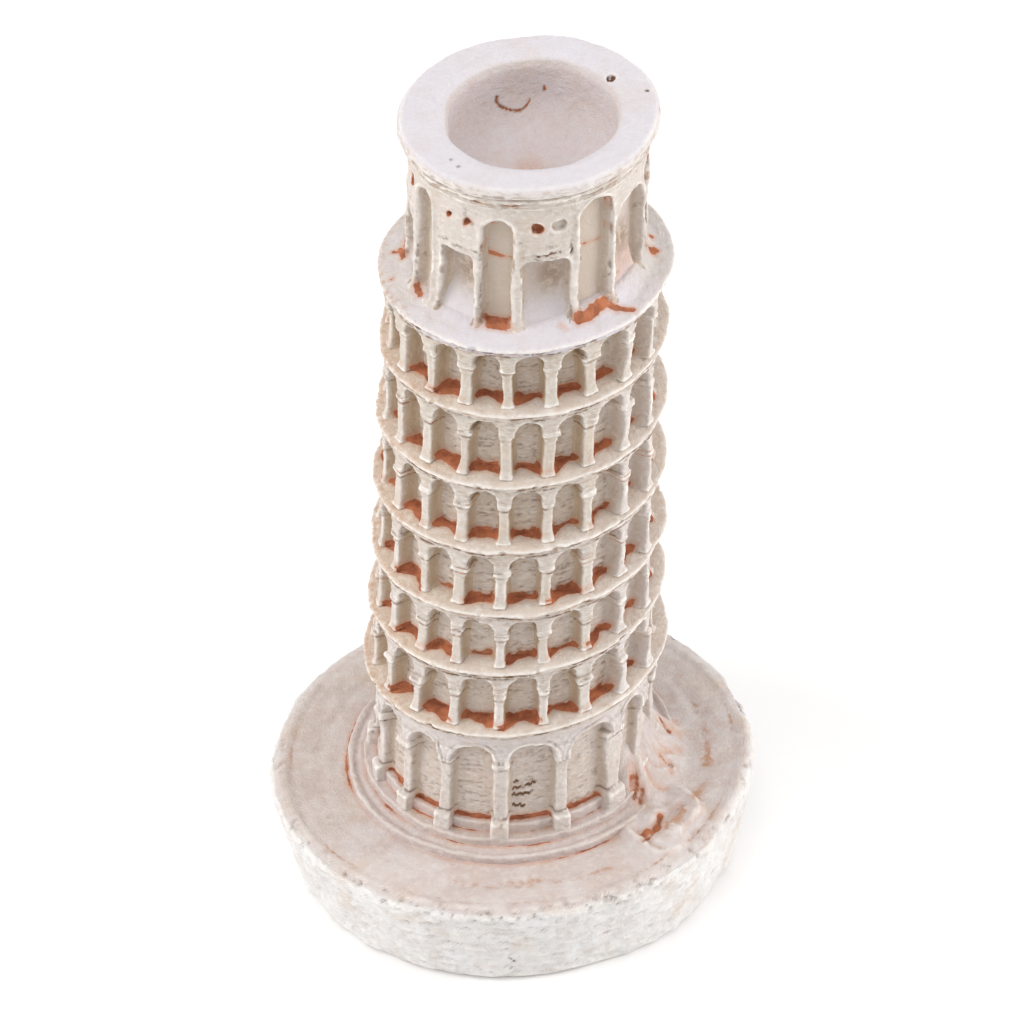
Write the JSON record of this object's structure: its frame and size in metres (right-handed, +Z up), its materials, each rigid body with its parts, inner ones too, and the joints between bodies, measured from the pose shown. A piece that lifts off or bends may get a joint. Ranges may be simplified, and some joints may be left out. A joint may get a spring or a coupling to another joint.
{
  "type": "miniature landmark model",
  "caption": "Cast resin desk model of a leaning round bell tower: arcaded galleries on a thick round disc, with a shallow round well in its top.",
  "frame": {"origin": "middle of the underside of the base disc", "axes": "+Z up, square to the base; the tower leans towards +X; -Y is the front, the side seen first"},
  "size_m": [0.054, 0.054, 0.102],
  "materials": {
    "base_resin": "matt, chalky and pitted, pinkish worn rings on top",
    "ledge_resin": "matt cream, rubbed pale on the edges, terracotta wash in the corners",
    "column_resin": "matt cream, faintly greenish in the shade",
    "wall_resin": "matt grey-cream with fine coursed grooves",
    "rim_resin": "smooth matt white, faintly lilac"
  },
  "bodies": {
    "root": {"base_disc": "base_resin", "foot_step_lower": "base_resin", "foot_step_middle": "base_resin", "foot_step_upper": "base_resin", "ground_wall": "wall_resin", "ground_columns": "column_resin", "ground_arches": "column_resin", "cornice_1": "ledge_resin", "gallery_1_wall": "wall_resin", "gallery_1_columns": "column_resin", "gallery_1_arches": "column_resin", "cornice_2": "ledge_resin", "gallery_2_wall": "wall_resin", "gallery_2_columns": "column_resin", "gallery_2_arches": "column_resin", "cornice_3": "ledge_resin", "gallery_3_wall": "wall_resin", "gallery_3_columns": "column_resin", "gallery_3_arches": "column_resin", "cornice_4": "ledge_resin", "gallery_4_wall": "wall_resin", "gallery_4_columns": "column_resin", "gallery_4_arches": "column_resin", "cornice_5": "ledge_resin", "gallery_5_wall": "wall_resin", "gallery_5_columns": "column_resin", "gallery_5_arches": "column_resin", "cornice_6": "ledge_resin", "gallery_6_wall": "wall_resin", "gallery_6_columns": "column_resin", "gallery_6_arches": "column_resin", "cornice_7": "ledge_resin", "belfry_wall": "wall_resin", "belfry_arcade": "column_resin", "belfry_entablature": "rim_resin", "top_rim": "rim_resin"}
  },
  "joints": []
}
